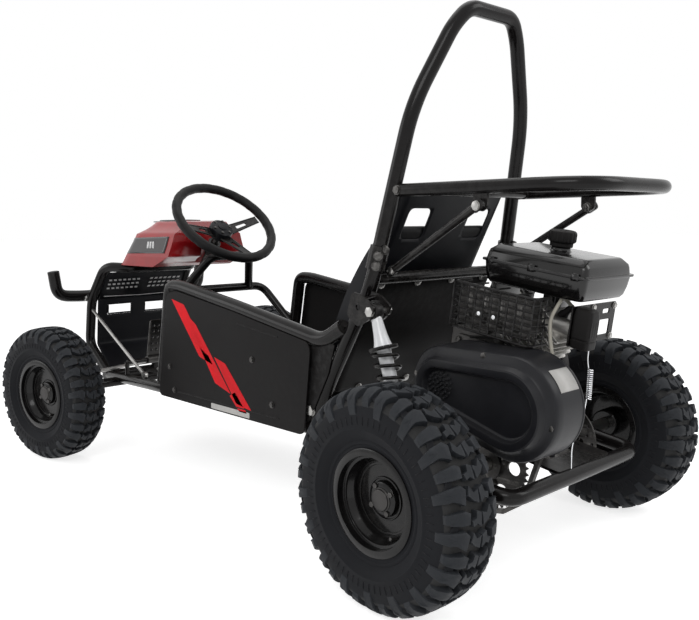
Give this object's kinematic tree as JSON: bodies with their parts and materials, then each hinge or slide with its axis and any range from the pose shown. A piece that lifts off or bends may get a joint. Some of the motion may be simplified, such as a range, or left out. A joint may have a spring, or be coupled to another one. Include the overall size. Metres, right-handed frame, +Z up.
{
  "type": "off road go kart",
  "caption": "Single-seat off road go kart with a tube frame, roll bar, rear rack, bucket seat, swing-arm engine with belt and chain drive, coil-over shocks and knobbly tyres.",
  "frame": {"origin": "centre of the kart's footprint, on the ground", "axes": "+X forward, +Y to the driver's left, +Z up"},
  "size_m": [1.6535, 0.8606, 0.9798],
  "materials": {
    "frame_black": "satin black powder coat",
    "panel_black": "matte black paint",
    "plastic_black": "moulded, slightly glossy",
    "tyre_rubber": "matte rubber",
    "belt_rubber": "matte",
    "nose_red": "gloss",
    "steel": "zinc plated",
    "alloy": "cast",
    "seat_vinyl": "padded vinyl",
    "shock_white": "bright coat"
  },
  "bodies": {
    "frame": {"frame_lower": "frame_black", "side_rail_left": "frame_black", "side_rail_right": "frame_black", "side_panel_left": "panel_black", "side_panel_right": "panel_black", "rear_frame": "frame_black", "firewall": "panel_black", "roll_bar": "frame_black", "rear_rack": "frame_black", "rack_strut_left": "frame_black", "rack_strut_right": "frame_black", "front_frame": "frame_black", "front_bumper": "frame_black", "nose_cowl": "plastic_black", "nose_top": "nose_red", "floor_pan": "panel_black", "steering_support": "frame_black", "seat_shell": "plastic_black", "seat_pad": "seat_vinyl"},
    "steering": {"steering_wheel": "frame_black", "steering_column": "steel"},
    "arm": {"swing_arm": "frame_black", "brake_caliper": "alloy", "engine_block": "alloy", "cylinder_head": "alloy", "fuel_tank": "frame_black", "muffler": "alloy", "muffler_guard": "frame_black", "air_filter_box": "plastic_black", "recoil_starter": "plastic_black", "drive_cover": "plastic_black", "drive_chain": "steel", "drive_belt": "belt_rubber"},
    "rear_wheels": {"rear_axle": "steel", "axle_sprocket": "steel", "brake_disc": "steel", "rear_rim_left": "frame_black", "rear_rim_right": "frame_black", "rear_tyre_left": "tyre_rubber", "rear_tyre_right": "tyre_rubber"},
    "cap": {"fuel_cap": "plastic_black"},
    "handle": {"starter_handle": "plastic_black"},
    "crank_pulley": {"drive_pulley": "steel"},
    "jackshaft": {"driven_pulley": "steel"},
    "throttle": {"throttle_pedal": "steel"},
    "brake": {"brake_pedal": "steel"},
    "spindle_left": {"spindle_left": "steel"},
    "front_wheel_left": {"front_rim_left": "frame_black", "front_tyre_left": "tyre_rubber"},
    "tie_rod_left": {"tie_rod_left": "steel"},
    "shock_body_left": {"shock_body_left": "shock_white", "shock_spring_left": "frame_black"},
    "shock_rod_left": {"shock_rod_left": "steel"},
    "spindle_right": {"spindle_right": "steel"},
    "front_wheel_right": {"front_rim_right": "frame_black", "front_tyre_right": "tyre_rubber"},
    "tie_rod_right": {"tie_rod_right": "steel"},
    "shock_body_right": {"shock_body_right": "shock_white", "shock_spring_right": "frame_black"},
    "shock_rod_right": {"shock_rod_right": "steel"}
  },
  "joints": [
    {"name": "steer_left", "type": "hinge", "parent": "frame", "child": "spindle_left", "pos_m": [0.5996, 0.296, 0.1695], "axis": [0, 0, 1], "range_deg": [-39.2, 16.8]},
    {"name": "steer_right", "type": "hinge", "parent": "frame", "child": "spindle_right", "pos_m": [0.5996, -0.296, 0.1695], "axis": [0, 0, 1], "range_deg": [-39.7, 17.3]},
    {"name": "steering_wheel_turn", "type": "hinge", "parent": "frame", "child": "steering", "pos_m": [0.3086, 0, 0.602], "axis": [-0.6896, 0, 0.7242], "range_deg": [-59.5, 25.9]},
    {"name": "tie_rod_pivot_left", "type": "hinge", "parent": "spindle_left", "child": "tie_rod_left", "pos_m": [0.53878, 0.28396, 0.214], "axis": [0, 0, 1], "range_deg": [-17.3, 39.7]},
    {"name": "front_wheel_spin_left", "type": "hinge", "parent": "spindle_left", "child": "front_wheel_left", "pos_m": [0.58795, 0.35486, 0.1695], "axis": [-0.1942, 0.981, 0], "continuous": true},
    {"name": "tie_rod_pivot_right", "type": "hinge", "parent": "spindle_right", "child": "tie_rod_right", "pos_m": [0.53878, -0.30804, 0.214], "axis": [0, 0, 1], "range_deg": [-17.3, 39.7]},
    {"name": "front_wheel_spin_right", "type": "hinge", "parent": "spindle_right", "child": "front_wheel_right", "pos_m": [0.61125, -0.35486, 0.1695], "axis": [-0.1942, 0.981, 0], "continuous": true},
    {"name": "swing_arm_pivot", "type": "hinge", "parent": "frame", "child": "arm", "pos_m": [-0.2594, 0, 0.236], "axis": [0, 1, 0], "range_deg": [-4, 8], "stiffness_Nm_per_rad": 900, "springref_deg": -8.59},
    {"name": "rear_axle_spin", "type": "hinge", "parent": "arm", "child": "rear_wheels", "pos_m": [-0.5944, 0, 0.1765], "axis": [0, 1, 0], "continuous": true},
    {"name": "jackshaft_spin", "type": "hinge", "parent": "arm", "child": "jackshaft", "pos_m": [-0.69783, 0, 0.30274], "axis": [0, 1, 0], "continuous": true},
    {"name": "crankshaft_spin", "type": "hinge", "parent": "arm", "child": "crank_pulley", "pos_m": [-0.55933, 0, 0.32317], "axis": [0, 1, 0], "continuous": true},
    {"name": "fuel_cap_turn", "type": "hinge", "parent": "arm", "child": "cap", "pos_m": [-0.66605, -0.022, 0.56013], "axis": [-0.1459, 0, 0.9893], "range_deg": [0, 90]},
    {"name": "starter_pull", "type": "slide", "parent": "arm", "child": "handle", "axis": [-0.9893, 0, -0.1459], "range_m": [0, 0.35], "stiffness_N_per_m": 30, "springref_m": -0.1},
    {"name": "shock_swing_left", "type": "hinge", "parent": "frame", "child": "shock_body_left", "pos_m": [-0.4574, 0.226, 0.445], "axis": [0, 1, 0], "range_deg": [-1.88, 3.45]},
    {"name": "shock_slide_left", "type": "slide", "parent": "shock_body_left", "child": "shock_rod_left", "axis": [0.307, 0, 0.9517], "range_m": [-0.01863, 0.03627], "deforming": ["shock_spring_left"]},
    {"name": "shock_swing_right", "type": "hinge", "parent": "frame", "child": "shock_body_right", "pos_m": [-0.4574, -0.226, 0.445], "axis": [0, 1, 0], "range_deg": [-1.88, 3.45]},
    {"name": "shock_slide_right", "type": "slide", "parent": "shock_body_right", "child": "shock_rod_right", "axis": [0.307, 0, 0.9517], "range_m": [-0.01863, 0.03627], "deforming": ["shock_spring_right"]},
    {"name": "throttle_press", "type": "hinge", "parent": "frame", "child": "throttle", "pos_m": [0.5456, -0.078, 0.228], "axis": [0, 1, 0], "range_deg": [0, 20], "stiffness_Nm_per_rad": 4, "springref_deg": -17.19},
    {"name": "brake_press", "type": "hinge", "parent": "frame", "child": "brake", "pos_m": [0.5456, 0.078, 0.228], "axis": [0, 1, 0], "range_deg": [0, 20], "stiffness_Nm_per_rad": 4, "springref_deg": -17.19}
  ],
  "couplings": [
    {"joint": "steer_right", "follows": "steer_left", "ratio": 1},
    {"joint": "steering_wheel_turn", "follows": "steer_left", "ratio": 1.5},
    {"joint": "tie_rod_pivot_left", "follows": "steer_left", "ratio": -1},
    {"joint": "tie_rod_pivot_right", "follows": "steer_left", "ratio": -1},
    {"joint": "jackshaft_spin", "follows": "rear_axle_spin", "ratio": 3.2},
    {"joint": "shock_swing_left", "follows": "swing_arm_pivot", "ratio": 0.39424},
    {"joint": "shock_slide_left", "follows": "swing_arm_pivot", "m_per_rad": 0.2526},
    {"joint": "shock_swing_right", "follows": "swing_arm_pivot", "ratio": 0.39424},
    {"joint": "shock_slide_right", "follows": "swing_arm_pivot", "m_per_rad": 0.2526}
  ]
}
